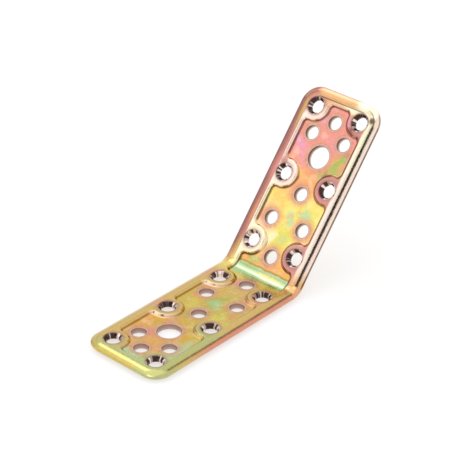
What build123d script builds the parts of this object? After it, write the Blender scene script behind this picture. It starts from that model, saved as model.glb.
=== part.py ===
"""Angle bracket pressed from one piece of sheet steel.

Two equal legs meet at a soft bend. A shallow panel is pressed down along both legs and through
the bend, which leaves raised lands along the edges and round the countersunk holes. All free
edges are rolled down, so the rim ends about level with the underside of the panel.

The lower leg is drawn flat along -X with its land at height zero, the bend line along Y through
the origin. The finished piece is then set on its underside, centred over the origin.
Lengths are millimetres and angles are degrees.
"""

import os
from math import cos, radians, sin, tan

from build123d import *

# Sheet, bend and outline
sheet = 2.0
bend_angle = 50.0
bend_radius = 4.5
leg_length = 70.7
leg_width = 35.4
corner_radius = 7.4

# Rolled edge, measured on its outer face
roll_radius = 6.4
roll_angle = 37.0

# Sunken panel, its outline taken halfway down the wall
panel_depth = 1.0
land_width = 1.3
waist_inset = 0.7
panel_corner_radius = 1.0
wall_angle = 45.0
brim_bevel = 0.3

# Raised rounds that carry the countersunk holes
boss_radius = 5.45

# Countersunk holes, in rows of two across the leg
countersunk_side_margin = 7.7
countersunk_end_margin = 7.54
countersunk_first = 10.36
countersunk_rows = 3
countersunk_bore = 4.8
countersink_diameter = 7.2
countersink_angle = 90.0

# Plain holes in the panel, as shares of the leg length from the bend line
plain_bore = 5.0
large_bore = 8.3
large_hole_share = 0.657
centre_hole_shares = (0.102, 0.45, 0.8475)
pair_shares = (0.286, 0.761)
pair_spread_share = 0.7175

# Sizes that follow from the ones above
roll_width = roll_radius * sin(radians(roll_angle))
flat_half_width = leg_width / 2 - roll_width
flat_end = leg_length - roll_width
flat_corner_radius = corner_radius - roll_width
bend_start = bend_radius * tan(radians(bend_angle / 2))
panel_width = 2 * (flat_half_width - land_width)
panel_end = flat_end - land_width
countersunk_spread = leg_width - 2 * countersunk_side_margin
countersunk_last = leg_length - countersunk_end_margin
countersunk_pitch = (countersunk_last - countersunk_first) / (countersunk_rows - 1)
pair_spread = pair_spread_share * countersunk_spread
half_wall_run = panel_depth / tan(radians(wall_angle)) / 2
wall_shift = sheet * tan(radians(wall_angle / 2))
underside = sheet + panel_depth
drill_length = 4 * underside
TOP = (Align.CENTER, Align.CENTER, Align.MAX)


def leg_plan():
    """Flat of one leg inside the rolled edge, from the bend line to the end."""
    plan = Pos(X=-flat_end / 2) * Rectangle(flat_end, 2 * flat_half_width)
    ends = plan.vertices().group_by(Axis.X)[0]
    return fillet(ends, flat_corner_radius)


def countersunk_places():
    """Centres of the six countersunk holes of the lower leg."""
    rows = [countersunk_first + row * countersunk_pitch for row in range(countersunk_rows)]
    return [(-row, side * countersunk_spread / 2) for row in rows for side in (1, -1)]


def plain_places():
    """Centres of the small plain holes of the lower leg."""
    places = [(-share * leg_length, 0) for share in centre_hole_shares]
    for share in pair_shares:
        places += [(-share * leg_length, side * pair_spread / 2) for side in (1, -1)]
    return places


def panel_plan():
    """Outline of the sunken panel of one leg, halfway down its wall, running past the bend line."""
    wide = Rectangle(panel_end - countersunk_first, panel_width, align=(Align.MAX, Align.CENTER))
    waist = Rectangle(2 * leg_width, panel_width - 2 * waist_inset)
    plan = Pos(X=-countersunk_first) * wide + waist
    for x, y in countersunk_places():
        seam_outward = Rot(Z=90 if y > 0 else -90)
        plan -= Pos(x, y) * seam_outward * Circle(boss_radius)
    corners = plan.vertices().filter_by(lambda corner: corner.X < 0)
    return fillet(corners, panel_corner_radius)


def panel_press(grow, rise=0):
    """Solid the shape of the pressed panel, its walls spreading upward past height zero by rise."""
    plan = offset(panel_plan(), grow + rise / tan(radians(wall_angle)), kind=Kind.INTERSECTION)
    return Pos(Z=rise) * Rot(X=180) * extrude(plan, panel_depth + rise, taper=wall_angle)


def pressed_flat():
    """Flat of one leg with the panel pressed into it and the brim of the panel eased."""
    recess = panel_press(half_wall_run, rise=panel_depth)
    below = Pos(Z=-sheet) * panel_press(half_wall_run + wall_shift)
    plate = extrude(leg_plan(), -sheet)
    cut = plate - recess
    brim = new_edges(plate, recess, combined=cut).group_by(Axis.Z)[-1]
    return chamfer(brim, brim_bevel) + (below - recess)


def rim_section():
    """Section of the rolled edge, drawn outward and up from the end of the flat."""
    centre = (0, -roll_radius)
    outer = CenterArc(centre, roll_radius, 90, -roll_angle)
    inner = CenterArc(centre, roll_radius - sheet, 90, -roll_angle)
    return make_face([outer, Line(outer @ 1, inner @ 1), inner, Line(inner @ 0, outer @ 0)])


def rim():
    """Rolled edge along both sides and round the end of the leg."""
    side = flat_half_width
    path = FilletPolyline(
        (0, side), (-flat_end, side), (-flat_end, -side), (0, -side),
        radius=flat_corner_radius,
    )
    start = Plane(origin=(0, side, 0), x_dir=(0, 1, 0), z_dir=(1, 0, 0))
    return sweep(start * rim_section(), path=path)


def leg_blank():
    """One leg before its holes are made, from the start of the bend to its rolled end."""
    blank = pressed_flat() + rim()
    room = leg_length + leg_width
    keep = Pos(X=-bend_start) * Box(room, room, room, align=(Align.MAX, Align.CENTER, Align.CENTER))
    return blank & keep


def countersunk_tool():
    """Bore and cone of one countersunk hole, with the wide end of the cone at height zero."""
    depth = (countersink_diameter - countersunk_bore) / 2 / tan(radians(countersink_angle / 2))
    cone = Cone(countersunk_bore / 2, countersink_diameter / 2, depth, align=TOP)
    return cone + Cylinder(countersunk_bore / 2, drill_length)


def drilled_leg():
    """Lower leg with its countersunk and plain holes."""
    leg = leg_blank()
    for place in countersunk_places():
        leg -= Pos(*place) * countersunk_tool()
    for place in plain_places():
        leg -= Pos(*place) * Cylinder(plain_bore / 2, drill_length)
    return leg - Pos(X=-large_hole_share * leg_length) * Cylinder(large_bore / 2, drill_length)


def bracket():
    """Both legs and the bend between them, standing on the underside of the lower leg."""
    leg = drilled_leg()
    section = leg.faces().sort_by(Axis.X)[-1]
    bend_axis = Axis((-bend_start, 0, bend_radius), (0, -1, 0))
    bend = revolve(section, bend_axis, bend_angle)
    half_turn = radians(bend_angle / 2)
    mitre = Plane(origin=(0, 0, 0), z_dir=(cos(half_turn), 0, sin(half_turn)))
    piece = leg + bend + mirror(leg, about=mitre)
    middle = piece.bounding_box().center()
    return Pos(-middle.X, 0, underside) * piece


os.makedirs("parts", exist_ok=True)
piece = bracket()
export_step(piece, "parts/angle_bracket.step")
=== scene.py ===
"""Dressed angle bracket, pressed from one sheet and finished in yellow passivated zinc, with shade and highlights
painted into the finish's colours.

The sheet is drawn as a flat pattern with its panel pressed in and its edges rolled down.
A node tree lines the holes and folds the pattern along the bend.
Lengths are millimetres until the mesh is made, and metres after that.
"""

import bisect
import logging
import math
from dataclasses import dataclass, field
from enum import Enum
from typing import Callable, Iterable, Optional, Union

import bpy
from mathutils import Matrix, Vector
from mathutils.geometry import delaunay_2d_cdt


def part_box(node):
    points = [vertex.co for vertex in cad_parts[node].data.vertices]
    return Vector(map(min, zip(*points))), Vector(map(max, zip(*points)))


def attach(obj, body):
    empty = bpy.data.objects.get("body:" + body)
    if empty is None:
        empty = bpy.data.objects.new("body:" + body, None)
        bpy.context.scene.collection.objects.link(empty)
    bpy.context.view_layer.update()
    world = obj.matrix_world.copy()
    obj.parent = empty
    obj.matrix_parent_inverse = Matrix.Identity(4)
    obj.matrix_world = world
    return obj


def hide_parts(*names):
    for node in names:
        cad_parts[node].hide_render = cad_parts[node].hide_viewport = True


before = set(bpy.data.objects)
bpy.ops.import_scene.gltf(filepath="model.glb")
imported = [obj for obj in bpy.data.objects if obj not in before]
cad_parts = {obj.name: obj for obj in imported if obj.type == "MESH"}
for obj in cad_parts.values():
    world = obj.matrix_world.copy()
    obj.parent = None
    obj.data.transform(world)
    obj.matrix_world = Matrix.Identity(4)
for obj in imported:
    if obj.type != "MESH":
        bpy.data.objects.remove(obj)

log = logging.getLogger("angle_bracket")

MM = 0.001
NODE = "angle_bracket"
BODY = "root"
END_ROOM = 0.15
EDGE_SLACK = 0.003
SMALL_TURN = 0.01
TRIANGLE_SLACK = 1e-7
BEND_SLACK = 1e-9
WELD_DISTANCE = 2e-6
LEFT, RIGHT = 1, -1

Place = tuple[float, float]
Triple = tuple[float, float, float]
Colour = Triple
Socket = bpy.types.NodeSocket
Value = Union[Socket, float]
Paint = Union[Socket, Colour]
Fade = tuple[float, ...]


class HoleKind(Enum):
    """The three sorts of hole in the bracket."""

    COUNTERSUNK = 0
    PLAIN = 1
    LARGE = 2


LINER_SEGMENTS = {HoleKind.COUNTERSUNK: 96, HoleKind.PLAIN: 64, HoleKind.LARGE: 88}
FLUTE_MARGIN = 0.2
CONE_START, CONE_FADE = 0.1, 0.45
FLUTE_WAVES = ((5, 0.7, 1.0), (9, 2.1, 0.6), (14, 4.0, 0.4))


class Turn(Enum):
    """Which way an outline's arc bends, seen from inside the outline."""

    OUTWARD = 1
    INWARD = -1


@dataclass(frozen=True)
class SectionPoint:
    """One point of a cross-section: distance outward, height, and the surface normal there."""

    out: float
    height: float
    normal_out: float
    normal_up: float


@dataclass(frozen=True)
class Arc:
    """One arc of an outline, from start to stop in radians about its centre."""

    s: float
    y: float
    radius: float
    start: float
    stop: float
    turn: Turn
    steps: int

    def mirrored(self) -> "Arc":
        """The arc on the other side of the bend line, still drawn anticlockwise round the sheet."""
        return Arc(-self.s, self.y, self.radius, math.pi - self.stop, math.pi - self.start, self.turn, self.steps)

    def half_turned(self) -> "Arc":
        """The arc turned half a turn about the middle of the sheet."""
        return Arc(-self.s, -self.y, self.radius, self.start + math.pi, self.stop + math.pi, self.turn, self.steps)

    def points(self, grow: float) -> list[tuple[Place, Place]]:
        """Points along the arc when the outline is grown.

        Args:
            grow: Distance that the outline moves outward.

        Returns:
            Pairs of a place and the outward direction there.
        """
        sign = self.turn.value
        radius = self.radius + sign * grow
        found = []
        for step in range(self.steps + 1):
            angle = self.start + (self.stop - self.start) * step / self.steps
            way = (math.cos(angle), math.sin(angle))
            found.append(((self.s + radius * way[0], self.y + radius * way[1]), (sign * way[0], sign * way[1])))
        return found


@dataclass(frozen=True)
class Outline:
    """A closed outline of arcs joined by straight lines, drawn anticlockwise."""

    arcs: tuple[Arc, ...]
    stops: tuple[float, ...]
    cross_step: float

    @classmethod
    def from_quarter(cls, quarter: list[Arc], stops: tuple[float, ...], cross_step: float) -> "Outline":
        """Completes an outline from the quarter of it that lies at positive s and y.

        Args:
            quarter: Arcs of that quarter, in order from the leg's end to the bend line.
            stops: Places along the sheet where long sides get a point.
            cross_step: Largest step of the points on lines across the sheet.

        Returns:
            The whole outline.
        """
        half = quarter + [arc.mirrored() for arc in reversed(quarter)]
        return cls(tuple(half + [arc.half_turned() for arc in half]), stops, cross_step)

    def fractions(self, first: Place, last: Place) -> list[float]:
        """Where a straight line gets points between its ends, as fractions of its length."""
        along, across = last[0] - first[0], last[1] - first[1]
        if abs(along) < abs(across):
            count = max(1, math.ceil(abs(across) / self.cross_step))
            return [step / count for step in range(1, count)]
        low, high = sorted((first[0], last[0]))
        start = bisect.bisect_right(self.stops, low + END_ROOM)
        inner = self.stops[start : bisect.bisect_left(self.stops, high - END_ROOM)]
        return sorted((stop - first[0]) / along for stop in inner)

    def ring(self, grow: float) -> list[tuple[Place, Place]]:
        """The outline's points when it is grown, each with its outward direction."""
        found: list[tuple[Place, Place]] = []
        for index, arc in enumerate(self.arcs):
            found += arc.points(grow)
            following = self.arcs[(index + 1) % len(self.arcs)]
            plain_first, plain_last = arc.points(0.0)[-1][0], following.points(0.0)[0][0]
            first, last = found[-1], following.points(grow)[0]
            for part in self.fractions(plain_first, plain_last):
                place = tuple(first[0][axis] + (last[0][axis] - first[0][axis]) * part for axis in (0, 1))
                found.append((place, first[1]))
        return found


def eased(corners: list[Place], radii: list[float], steps: int, side: int) -> list[SectionPoint]:
    """Section of straight runs joined by arcs.

    Args:
        corners: Corners of the section, its two ends among them, as (out, height).
        radii: Radius at each corner between the ends.
        steps: Steps in each arc.
        side: LEFT or RIGHT, the side of the way the section runs to which the surface faces.

    Returns:
        Points from the first arc's start to the last arc's end.
    """
    found = []
    for before, corner, after, radius in zip(corners, corners[1:], corners[2:], radii):
        way_in = (Vector(corner) - Vector(before)).normalized()
        way_out = (Vector(after) - Vector(corner)).normalized()
        bend = math.atan2(way_in.x * way_out.y - way_in.y * way_out.x, way_in.dot(way_out))
        tangent = radius * math.tan(abs(bend) / 2)
        start = Vector(corner) - way_in * tangent
        hand = 1 if bend > 0 else -1
        left = Vector((-way_in.y, way_in.x))
        centre = start + left * hand * radius
        for step in range(steps + 1):
            turned = Matrix.Rotation(bend * step / steps, 2)
            point = centre + turned @ (start - centre)
            normal = turned @ left * side
            found.append(SectionPoint(point.x, point.y, normal.x, normal.y))
    return found


@dataclass
class BracketSizes:
    """Sizes of the bracket in millimetres and degrees.

    They are the solid's, apart from the panel's corner radius, which is rounder here, and the small
    radii at the end of the list, which the solid leaves sharp.
    """

    sheet: float = 2.0
    bend_angle: float = 50.0
    bend_radius: float = 4.5
    leg_length: float = 70.7
    leg_width: float = 35.4
    corner_radius: float = 7.4
    roll_radius: float = 6.4
    roll_angle: float = 37.0
    panel_depth: float = 1.0
    land_width: float = 1.3
    waist_inset: float = 0.7
    panel_corner_radius: float = 1.8
    half_wall_run: float = 0.5
    boss_radius: float = 5.45
    side_margin: float = 7.7
    end_margin: float = 7.54
    first_row: float = 10.36
    rows: int = 3
    countersunk_bore: float = 4.8
    countersink_diameter: float = 7.2
    plain_bore: float = 5.0
    large_bore: float = 8.3
    large_hole_share: float = 0.657
    centre_hole_shares: tuple[float, ...] = (0.102, 0.45, 0.8475)
    pair_shares: tuple[float, ...] = (0.286, 0.761)
    pair_spread_share: float = 0.7175
    brim_radius: float = 0.5
    foot_radius: float = 0.9
    under_brim_radius: float = 0.36
    under_foot_radius: float = 0.8
    under_wall_shift: float = 0.6
    tip_radius: float = 0.28
    countersink_lip: float = 0.8
    throat_radius: float = 0.25
    plain_lip: float = 0.28
    burr_radius: float = 0.12
    flute_depth: float = 0.035

    @property
    def bend(self) -> float:
        """Bend angle in radians."""
        return math.radians(self.bend_angle)

    @property
    def bend_length(self) -> float:
        """Length of the bend along the land."""
        return self.bend_radius * self.bend

    @property
    def bend_start(self) -> float:
        """Distance from the bend line to where a leg turns flat."""
        return self.bend_radius * math.tan(self.bend / 2)

    @property
    def flat_shift(self) -> float:
        """How much nearer a place is to the middle of the flat pattern than to the bend line."""
        return self.bend_start - self.bend_length / 2

    @property
    def roll_width(self) -> float:
        """Width of the rolled edge."""
        return self.roll_radius * math.sin(math.radians(self.roll_angle))

    @property
    def half_flat(self) -> float:
        """Half the width inside the rolled edges."""
        return self.leg_width / 2 - self.roll_width

    @property
    def flat_end(self) -> float:
        """Flat-pattern distance to where the end's rolled edge starts."""
        return self.leg_length - self.roll_width - self.flat_shift

    @property
    def row_distances(self) -> list[float]:
        """Flat-pattern distances of the rows of countersunk holes."""
        last = self.leg_length - self.end_margin
        pitch = (last - self.first_row) / (self.rows - 1)
        return [self.first_row + row * pitch - self.flat_shift for row in range(self.rows)]

    @property
    def spread(self) -> float:
        """Distance across the leg between two countersunk holes."""
        return self.leg_width - 2 * self.side_margin

    def holes(self) -> list[tuple[HoleKind, Place]]:
        """Every hole of the flat pattern with its kind."""
        found = []
        for leg in (-1, 1):
            found += [
                (HoleKind.COUNTERSUNK, (leg * row, side * self.spread / 2))
                for row in self.row_distances
                for side in (-1, 1)
            ]
            for share in self.centre_hole_shares:
                found.append((HoleKind.PLAIN, (leg * (share * self.leg_length - self.flat_shift), 0.0)))
            for share in self.pair_shares:
                along = leg * (share * self.leg_length - self.flat_shift)
                half = self.pair_spread_share * self.spread / 2
                found += [(HoleKind.PLAIN, (along, side * half)) for side in (-1, 1)]
            found.append((HoleKind.LARGE, (leg * (self.large_hole_share * self.leg_length - self.flat_shift), 0.0)))
        return found


@dataclass
class HoleLiner:
    """Wall of one sort of hole, from its mouth to its far edge, as a ring of sections."""

    kind: HoleKind
    section: list[SectionPoint]
    segments: int
    flute_depth: float = 0.0
    flute_band: tuple[float, float] = (0.0, 0.0)

    @classmethod
    def for_kind(cls, kind: HoleKind, sizes: BracketSizes) -> "HoleLiner":
        """Draws the wall of a hole.

        Args:
            kind: Sort of hole.
            sizes: Sizes of the bracket.

        Returns:
            The liner, its heights those of the sheet round it.
        """
        segments = LINER_SEGMENTS[kind]
        if kind is HoleKind.COUNTERSUNK:
            lip = sizes.countersink_lip
            bore = sizes.countersunk_bore / 2
            mouth = sizes.countersink_diameter / 2 - lip * math.tan(math.pi / 8)
            floor = -sizes.sheet
            corners = [(mouth + 1, 0.0), (mouth, 0.0), (bore, bore - mouth), (bore, floor), (bore + 1, floor)]
            section = eased(corners, [lip, sizes.throat_radius, sizes.burr_radius], 5, RIGHT)
            return cls(kind, section, segments, sizes.flute_depth, (bore, mouth - FLUTE_MARGIN))
        bore = (sizes.plain_bore if kind is HoleKind.PLAIN else sizes.large_bore) / 2
        top, floor = -sizes.panel_depth, -sizes.panel_depth - sizes.sheet
        corners = [(bore + 1, top), (bore, top), (bore, floor), (bore + 1, floor)]
        return cls(kind, eased(corners, [sizes.plain_lip, sizes.burr_radius], 4, RIGHT), segments)

    @property
    def mouth(self) -> float:
        """Radius where the liner meets the sheet's upper face."""
        return self.section[0].out

    @property
    def far_edge(self) -> float:
        """Radius where the liner meets the sheet's lower face."""
        return self.section[-1].out

    def circle(self, centre: Place, radius: float) -> list[tuple[Place, Place]]:
        """Points of a circle round a hole, each with its outward direction."""
        found = []
        for step in range(self.segments):
            angle = 2 * math.pi * step / self.segments
            way = (math.cos(angle), math.sin(angle))
            found.append(((centre[0] + radius * way[0], centre[1] + radius * way[1]), way))
        return found

    def flute(self, angle: float, radius: float) -> float:
        """Depth of the tool's flutes in the cone at an angle and a radius."""
        low, high = self.flute_band
        if not low < radius < high:
            return 0.0
        swell = math.sin(math.pi * (radius - low) / (high - low))
        wave = sum(share * math.sin(count * angle + start) for count, start, share in FLUTE_WAVES)
        return self.flute_depth * swell * wave / 2


class SheetMesh:
    """Collects the points and faces of the flat pattern, with what the finish needs to know."""

    def __init__(self) -> None:
        """Starts an empty mesh."""
        self.points: list[Triple] = []
        self.normals: list[Triple] = []
        self.relief: list[Triple] = []
        self.spokes: list[Triple] = []
        self.faces: list[tuple[int, ...]] = []

    def add(
        self,
        place: Place,
        height: float,
        normal: Triple,
        relief: Triple = (0.0, 0.0, 0.0),
        spoke: Triple = (0.0, 0.0, 0.0),
    ) -> int:
        """Adds a point.

        Args:
            place: Place in the flat pattern.
            height: Height above the land.
            normal: Surface normal in the flat pattern.
            relief: How far the point is on a panel wall, on the rolled edge and in a countersink.
            spoke: Direction from the hole's centre and the distance from its axis.

        Returns:
            The point's number.
        """
        self.points.append((place[0], place[1], height))
        self.normals.append(normal)
        self.relief.append(relief)
        self.spokes.append(spoke)
        return len(self.points) - 1

    def ring(
        self, ring: list[tuple[Place, Place]], at: SectionPoint, relief: Triple = (0.0, 0.0, 0.0)
    ) -> list[int]:
        """Adds a closed ring of points at one point of a section."""
        return [
            self.add(place, at.height, (way[0] * at.normal_out, way[1] * at.normal_out, at.normal_up), relief)
            for place, way in ring
        ]

    def bridge(self, outer: list[int], inner: list[int], up: bool = True) -> None:
        """Joins two rings of as many points with a strip of faces."""
        count = len(outer)
        for index in range(count):
            following = (index + 1) % count
            face = (outer[index], outer[following], inner[following], inner[index])
            self.faces.append(face if up else face[::-1])

    def fill(
        self, rings: list[list[int]], inner: list[Place], height: float, up: bool, keep: Callable[[float, float], bool]
    ) -> None:
        """Fills a flat region between rings with triangles.

        Args:
            rings: Rings of points that bound the region.
            inner: Places inside the region that get a point.
            height: Height of the region.
            up: Whether it faces up.
            keep: Tells whether a place belongs to the region.
        """
        numbers = [number for ring in rings for number in ring]
        edges, start = [], 0
        for ring in rings:
            edges += [(start + index, start + (index + 1) % len(ring)) for index in range(len(ring))]
            start += len(ring)
        flat = [Vector(self.points[number][:2]) for number in numbers]
        normal = (0.0, 0.0, 1.0 if up else -1.0)
        numbers += [self.add(place, height, normal) for place in inner]
        flat += [Vector(place) for place in inner]
        places, _, triangles, sources, _, _ = delaunay_2d_cdt(flat, edges, [], 0, TRIANGLE_SLACK, True)
        origins = [numbers[source[0]] for source in sources]
        for face in triangles:
            middle = sum((places[corner] for corner in face), Vector((0.0, 0.0))) / 3
            if keep(middle.x, middle.y):
                corners = tuple(origins[corner] for corner in face)
                self.faces.append(corners if up else corners[::-1])

    def to_object(self, name: str, gaps: Optional[Callable[[float, float], float]] = None) -> bpy.types.Object:
        """Makes an object of the mesh, in metres.

        Args:
            name: Name of the object.
            gaps: Gives the distance from a place to the nearest hole's edge.

        Returns:
            The object, linked to the scene.
        """
        mesh = bpy.data.meshes.new(name)
        mesh.from_pydata([tuple(value * MM for value in point) for point in self.points], [], self.faces)
        for label, values in (("flat_normal", self.normals), ("relief", self.relief), ("spoke", self.spokes)):
            layer = mesh.attributes.new(label, "FLOAT_VECTOR", "POINT")
            layer.data.foreach_set("vector", [part for value in values for part in value])
        layer = mesh.attributes.new("hole_gap", "FLOAT", "POINT")
        layer.data.foreach_set("value", [gaps(p[0], p[1]) if gaps else 0.0 for p in self.points])
        made = bpy.data.objects.new(name, mesh)
        bpy.context.scene.collection.objects.link(made)
        return made


def inside(polygon: list[Place], s: float, y: float) -> bool:
    """Whether a place lies inside a polygon."""
    found = False
    last_s, last_y = polygon[-1]
    for next_s, next_y in polygon:
        if (next_y > y) != (last_y > y) and s < (last_s - next_s) * (y - next_y) / (last_y - next_y) + next_s:
            found = not found
        last_s, last_y = next_s, next_y
    return found


@dataclass
class FlatPattern:
    """The pressed sheet before it is folded: panel, lands, rolled edge and open holes."""

    sizes: BracketSizes = field(default_factory=BracketSizes)
    grid_step: float = 1.5
    bend_step: float = 0.33
    wall_room: float = 0.45
    foot_room: float = 0.3
    corner_steps: int = 16
    ease_steps: int = 10
    boss_steps: int = 36
    wall_steps: int = 6
    under_wall_steps: int = 4
    roll_steps: int = 14
    tip_steps: int = 6
    under_roll_steps: int = 8

    def __post_init__(self) -> None:
        """Works out the holes, their liners and the two outlines."""
        sizes = self.sizes
        self.holes = sizes.holes()
        self.liners = {kind: HoleLiner.for_kind(kind, sizes) for kind in HoleKind}
        self.stops = self.long_stops()
        radius = sizes.corner_radius - sizes.roll_width
        hub = (sizes.flat_end - radius, sizes.half_flat - radius)
        corner = Arc(*hub, radius, 0.0, math.pi / 2, Turn.OUTWARD, self.corner_steps)
        self.edge = Outline.from_quarter([corner], self.stops, self.grid_step)
        self.panel = Outline.from_quarter(self.panel_quarter(), self.stops, self.grid_step)

    def long_stops(self) -> tuple[float, ...]:
        """Places along the sheet where long sides get a point, closer together in the bend."""
        half_bend = self.sizes.bend_length / 2 + 2 * self.bend_step
        fine = math.ceil(2 * half_bend / self.bend_step)
        stops = [-half_bend + 2 * half_bend * step / fine for step in range(fine + 1)]
        coarse = math.ceil((self.sizes.flat_end - half_bend) / self.grid_step)
        for step in range(1, coarse):
            away = half_bend + (self.sizes.flat_end - half_bend) * step / coarse
            stops += [away, -away]
        return tuple(sorted(stops))

    def panel_quarter(self) -> list[Arc]:
        """Arcs of the panel's outline from the leg's end to the bend line, halfway down the wall."""
        sizes = self.sizes
        ease, boss = sizes.panel_corner_radius, sizes.boss_radius
        half = sizes.half_flat - sizes.land_width
        waist = half - sizes.waist_inset
        end = sizes.flat_end - sizes.land_width
        centre_y = sizes.spread / 2
        reach = boss + ease
        arcs: list[Arc] = []
        for row in reversed(range(sizes.rows)):
            centre_s = sizes.row_distances[row]
            if row == sizes.rows - 1:
                drop = math.sqrt(reach**2 - (end - ease - centre_s) ** 2)
                before = (end - ease, centre_y - drop, 0.0)
            else:
                drop = math.sqrt(reach**2 - (half - ease - centre_y) ** 2)
                before = (centre_s + drop, half - ease, math.pi / 2)
            side = waist if row == 0 else half
            drop = math.sqrt(reach**2 - (side - ease - centre_y) ** 2)
            after = (centre_s - drop, side - ease)
            meet = math.atan2(centre_y - before[1], centre_s - before[0]) % (2 * math.pi)
            leave = math.atan2(centre_y - after[1], centre_s - after[0])
            arcs.append(Arc(before[0], before[1], ease, before[2], meet, Turn.OUTWARD, self.ease_steps))
            inward = (meet - math.pi, leave - math.pi)
            arcs.append(Arc(centre_s, centre_y, boss, *inward, Turn.INWARD, self.boss_steps))
            arcs.append(Arc(after[0], after[1], ease, leave, math.pi / 2, Turn.OUTWARD, self.ease_steps))
        return arcs

    def wall_section(self) -> list[SectionPoint]:
        """Section of the panel's wall on the upper face, from the brim to the foot."""
        run, depth = self.sizes.half_wall_run, self.sizes.panel_depth
        corners = [(run + 1, 0.0), (run, 0.0), (-run, -depth), (-run - 1, -depth)]
        return eased(corners, [self.sizes.brim_radius, self.sizes.foot_radius], self.wall_steps, RIGHT)

    def under_wall_section(self) -> list[SectionPoint]:
        """Section of the panel's wall on the lower face, from the land's underside to the panel's."""
        sizes = self.sizes
        top = sizes.half_wall_run + sizes.under_wall_shift
        low = top - sizes.panel_depth
        land, panel = -sizes.sheet, -sizes.sheet - sizes.panel_depth
        corners = [(top + 1, land), (top, land), (low, panel), (low - 1, panel)]
        return eased(corners, [sizes.under_brim_radius, sizes.under_foot_radius], self.under_wall_steps, LEFT)

    def roll_section(self) -> list[SectionPoint]:
        """Section of the rolled edge, from the land over the cut tip to the land's underside."""
        sizes = self.sizes
        outer, inner = sizes.roll_radius, sizes.roll_radius - sizes.sheet
        tip, full = sizes.tip_radius, math.radians(sizes.roll_angle)
        outer_end = full - math.asin(tip / (outer - tip))
        inner_end = full - math.asin(tip / (inner + tip))
        found: list[SectionPoint] = []

        def add_arc(hub: Place, radius: float, angles: list[float], facing: float = 1.0) -> None:
            """Adds points of an arc, its angles measured from straight up towards outward."""
            for angle in angles:
                way = (math.sin(angle), math.cos(angle))
                place = (hub[0] + radius * way[0], hub[1] + radius * way[1])
                found.append(SectionPoint(place[0], place[1], facing * way[0], facing * way[1]))

        axis, square = (0.0, -outer), math.pi / 2
        over, tips, under = self.roll_steps, self.tip_steps, self.under_roll_steps
        add_arc(axis, outer, [outer_end * step / over for step in range(over + 1)])
        hub = ((outer - tip) * math.sin(outer_end), -outer + (outer - tip) * math.cos(outer_end))
        add_arc(hub, tip, [outer_end + (full + square - outer_end) * step / tips for step in range(1, tips + 1)])
        hub = ((inner + tip) * math.sin(inner_end), -outer + (inner + tip) * math.cos(inner_end))
        add_arc(hub, tip, [full + square + (square + inner_end - full) * step / tips for step in range(tips + 1)])
        add_arc(axis, inner, [inner_end * (1 - step / under) for step in range(1, under + 1)], -1.0)
        return found

    def hole_gap(self, s: float, y: float) -> float:
        """Distance from a place to the nearest hole's edge."""
        return min(
            math.hypot(s - centre[0], y - centre[1]) - self.liners[kind].mouth for kind, centre in self.holes
        )

    def grid(self, half_width: float, end: float, keep: Callable[[float, float], bool]) -> list[Place]:
        """Inner points of a flat region, on a grid that is finer along the bend."""
        columns = [stop for stop in self.stops if abs(stop) < end]
        count = max(2, math.ceil(2 * half_width / self.grid_step))
        lines = [-half_width + 2 * half_width * step / count for step in range(1, count)]
        return [(s, y) for s in columns for y in lines if keep(s, y)]

    def build(self) -> bpy.types.Object:
        """Makes the flat pattern, with its holes open and unlined.

        Returns:
            The object of the flat pattern.
        """
        sizes, mesh = self.sizes, SheetMesh()
        walls, steepest = [], 1 - math.sqrt(0.5)
        for at in self.wall_section():
            slope = (1 - abs(at.normal_up)) / steepest
            walls.append(mesh.ring(self.panel.ring(at.out), at, (slope, 0.0, 0.0)))
        for outer, inner in zip(walls, walls[1:]):
            mesh.bridge(outer, inner)
        unders = [mesh.ring(self.panel.ring(at.out), at) for at in self.under_wall_section()]
        for outer, inner in zip(unders, unders[1:]):
            mesh.bridge(outer, inner, up=False)
        rolls = []
        for at in self.roll_section():
            rolls.append(mesh.ring(self.edge.ring(at.out), at, (0.0, at.out / sizes.roll_width, 0.0)))
        for inner, outer in zip(rolls, rolls[1:]):
            mesh.bridge(outer, inner)
        self.fill_faces(mesh, walls, unders, rolls)
        return mesh.to_object("flat_pattern", self.hole_gap)

    def fill_faces(
        self, mesh: SheetMesh, walls: list[list[int]], unders: list[list[int]], rolls: list[list[int]]
    ) -> None:
        """Fills the lands and the panel on both faces of the sheet.

        Args:
            mesh: Mesh that gets the faces.
            walls: Rings of the upper wall, from brim to foot.
            unders: Rings of the lower wall, from the land's underside to the panel's.
            rolls: Rings of the rolled edge, from the land to its underside.
        """
        sizes = self.sizes
        depth, sheet = sizes.panel_depth, sizes.sheet
        for up, wall, edge, land_height in ((True, walls, rolls[0], 0.0), (False, unders, rolls[-1], -sheet)):
            brim = [mesh.points[number][:2] for number in wall[0]]
            foot = [mesh.points[number][:2] for number in wall[-1]]
            rim = [mesh.points[number][:2] for number in edge]
            raised: list[tuple[Place, float]] = []
            sunken: list[tuple[Place, float]] = []
            land_rings, panel_rings = [edge, wall[0]], [wall[-1]]
            for kind, centre in self.holes:
                liner, on_land = self.liners[kind], kind is HoleKind.COUNTERSUNK
                radius = liner.mouth if up else liner.far_edge
                at = SectionPoint(radius, land_height if on_land else land_height - depth, 0.0, 1.0 if up else -1.0)
                ring = mesh.ring(liner.circle(centre, radius), at)
                (land_rings if on_land else panel_rings).append(ring)
                (raised if on_land else sunken).append((centre, radius))

            def clear(holes: list[tuple[Place, float]], s: float, y: float, room: float) -> bool:
                """Whether a place keeps clear of the holes."""
                return all(math.hypot(s - c[0], y - c[1]) > r + room for c, r in holes)

            def near(polygon: list[Place], s: float, y: float, room: float) -> bool:
                """Whether a place lies close to a polygon's points."""
                return any(abs(s - p[0]) < room and abs(y - p[1]) < room for p in polygon)

            def on_land_at(s: float, y: float) -> bool:
                """Whether a place is on the land."""
                return clear(raised, s, y, -EDGE_SLACK) and not inside(brim, s, y) and inside(rim, s, y)

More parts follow.
